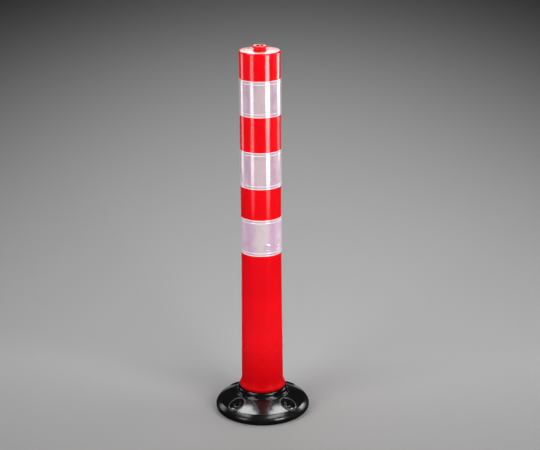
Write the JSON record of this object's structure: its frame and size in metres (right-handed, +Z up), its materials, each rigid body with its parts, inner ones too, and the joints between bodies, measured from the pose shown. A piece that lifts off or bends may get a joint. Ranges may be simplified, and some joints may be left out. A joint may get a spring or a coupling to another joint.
{
  "type": "delineator post",
  "caption": "Upright round flexible post with reflective bands, on a round rubber base with counterbored anchor holes. It bends over at the foot and springs back.",
  "frame": {"origin": "centre of the base's underside, on the road", "axes": "+Z up along the post; -Y towards the side seen in the picture, with two anchor holes to its left and right"},
  "size_m": [0.19, 0.19, 0.75],
  "materials": {
    "red_plastic": "glossy moulded",
    "reflective_film": "glossy silver-white film",
    "black_rubber": "satin moulded",
    "black_collar": "glossy moulded",
    "zinc_steel": "zinc plated"
  },
  "bodies": {
    "base": {"rubber_base": "black_rubber", "retaining_collar": "black_collar", "post_foot": "red_plastic", "clamp_ring": "zinc_steel", "backing_plate": "zinc_steel", "anchor_sleeve_1": "zinc_steel", "anchor_sleeve_2": "zinc_steel", "anchor_sleeve_3": "zinc_steel", "anchor_sleeve_4": "zinc_steel", "foot_bolt_1": "zinc_steel", "foot_bolt_2": "zinc_steel", "foot_bolt_3": "zinc_steel", "foot_bolt_4": "zinc_steel", "foot_washer_1": "zinc_steel", "foot_washer_2": "zinc_steel", "foot_washer_3": "zinc_steel", "foot_washer_4": "zinc_steel", "foot_nut_1": "zinc_steel", "foot_nut_2": "zinc_steel", "foot_nut_3": "zinc_steel", "foot_nut_4": "zinc_steel"},
    "flex": {"flex_section": "red_plastic"},
    "post": {"post_tube": "red_plastic", "top_plug": "red_plastic", "reflective_band_upper": "reflective_film", "reflective_band_middle": "reflective_film", "reflective_band_lower": "reflective_film"}
  },
  "joints": [
    {"name": "bend_front_back", "type": "hinge", "parent": "base", "child": "flex", "pos_m": [0, 0, 0.117], "axis": [1, 0, 0], "range_deg": [-85, 85], "stiffness_Nm_per_rad": 60, "deforming": ["flex_section"]},
    {"name": "bend_sideways", "type": "hinge", "parent": "flex", "child": "post", "pos_m": [0, 0, 0.117], "axis": [0, 1, 0], "range_deg": [-85, 85], "stiffness_Nm_per_rad": 60, "deforming": ["flex_section"]}
  ]
}
